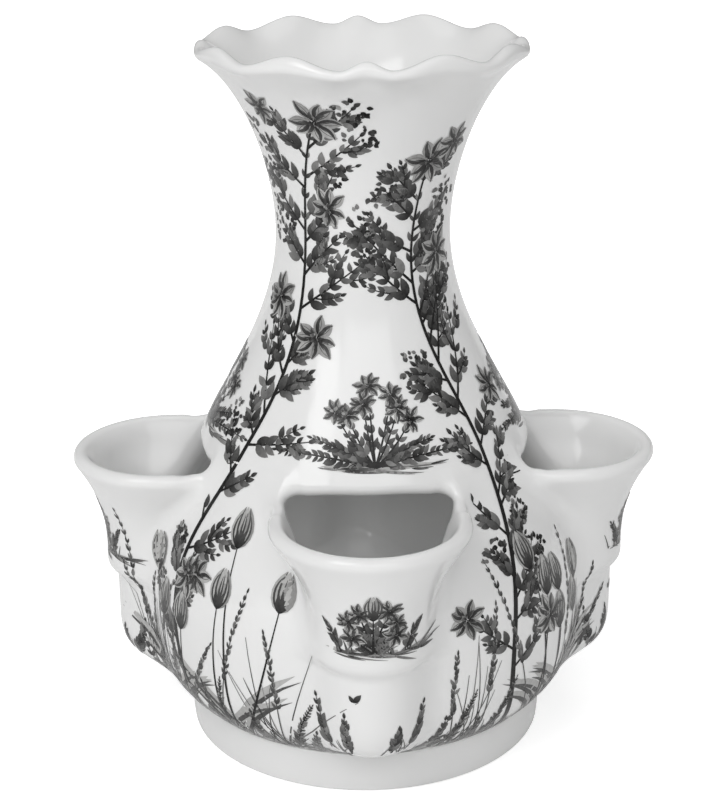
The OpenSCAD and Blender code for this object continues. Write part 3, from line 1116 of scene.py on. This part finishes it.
def skin_points(angles, heights, lift):
    # Places a little over the skin, and the skin's normals there
    radius, per_turn, per_rise = skin_slopes(angles, heights)
    out = np.stack([np.sin(angles), -np.cos(angles), 0 * angles], axis=-1)
    round_way = np.stack([np.cos(angles), np.sin(angles), 0 * angles], axis=-1)
    upright = np.stack([0 * angles, 0 * angles, 1 + 0 * angles], axis=-1)
    round_slope = per_turn[..., None] * out + radius[..., None] * round_way
    normal = np.cross(round_slope, per_rise[..., None] * out + upright)
    normal /= np.linalg.norm(normal, axis=-1, keepdims=True)
    places = radius[..., None] * out + heights[..., None] * upright + lift[..., None] * normal
    return pressed_rim(places[..., 0], places[..., 1], places[..., 2]), normal


# At a mouth, the base and the rim's edge a long stroke is cut and a short one left out
long_stroke = 9
clear_turn = math.radians(32)
clear_low_z = 114.0
clear_high_z = 140.0
brush_low_z = 18.3
brush_high_z = 297.0
brush_sets = []
for length in sorted({mark[0].shape[0] for mark in brush_marks}):
    marks = [mark for mark in brush_marks if mark[0].shape[0] == length]
    *nets, lifts = zip(*marks)
    brush_sets.append([np.concatenate(net, axis=1) for net in nets] + [np.concatenate(lifts)])


def lay_brushwork(name, carries):
    # Strokes are cut from one grid per length, three points across each, and bent on to the skin
    work = bmesh.new()
    for angles, heights, greys, lifts in brush_sets:
        open_mouth = (heights > clear_low_z) & (heights < clear_high_z)
        open_mouth &= pocket_turn(angles) < clear_turn
        off_limits = open_mouth | (heights > brush_high_z) | (heights < brush_low_z)
        kept = carries(angles[0, :, 1], heights[0, :, 1])
        if len(angles) < long_stroke:
            kept &= ~off_limits.any(axis=(0, 2))
        if not kept.any():
            continue
        angles, heights, greys, lifts = angles[:, kept], heights[:, kept], greys[:, kept], lifts[kept]
        off_limits = off_limits[:, kept]
        places, normals = skin_points(angles, heights, lifts[None, :, None] + 0 * angles)
        row_count = angles.shape[0] - 1
        column_count = 3 * angles.shape[1] - 1
        sheet = bmesh.new()
        bmesh.ops.create_grid(sheet, x_segments=column_count, y_segments=row_count, size=1.0)
        unpainted = []
        for face in sheet.faces:
            middle = face.calc_center_median()
            column = math.floor((middle.x + 1) / 2 * column_count)
            row = math.floor((middle.y + 1) / 2 * row_count)
            if column % 3 == 2 or off_limits[row:row + 2, column // 3].any():
                unpainted.append(face)
        bmesh.ops.delete(sheet, geom=unpainted, context="FACES")
        grey_layer = sheet.verts.layers.float.new("grey")
        normal_layer = sheet.verts.layers.float_vector.new("glaze_normal")
        for vert in sheet.verts:
            row = round((vert.co.y + 1) / 2 * row_count)
            stroke, side = divmod(round((vert.co.x + 1) / 2 * column_count), 3)
            vert[grey_layer] = greys[row, stroke]
            vert[normal_layer] = normals[row, stroke, side]
            vert.co = places[row, stroke, side] * to_metres
        add_sheet(work, sheet)
    work.normal_update()
    normal_layer = work.verts.layers.float_vector["glaze_normal"]
    turned = [face for face in work.faces if face.normal.dot(face.verts[0][normal_layer]) < 0]
    bmesh.ops.reverse_faces(work, faces=turned)
    for face in work.faces:
        face.smooth = True
    piece = bpy.data.objects.new(name, skin_data(name, work, ink))
    scene.collection.objects.link(piece)
    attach(piece, "root")


def on_pocket(angle, z):
    return (z < mouth_low_z) & (pocket_turn(angle) < skirt_turn(z)) & (z > skirt_z)


lay_brushwork("neck_brushwork", lambda angle, z: z > seam[1])
lay_brushwork("bulb_brushwork", lambda angle, z: (z <= seam[1]) & ~on_pocket(angle, z))
for quarter, word in enumerate(sides):
    lay_brushwork(
        word + "_pocket_brushwork",
        lambda angle, z: on_pocket(angle, z) & (np.round(angle / pockets_apart) % 4 == quarter))
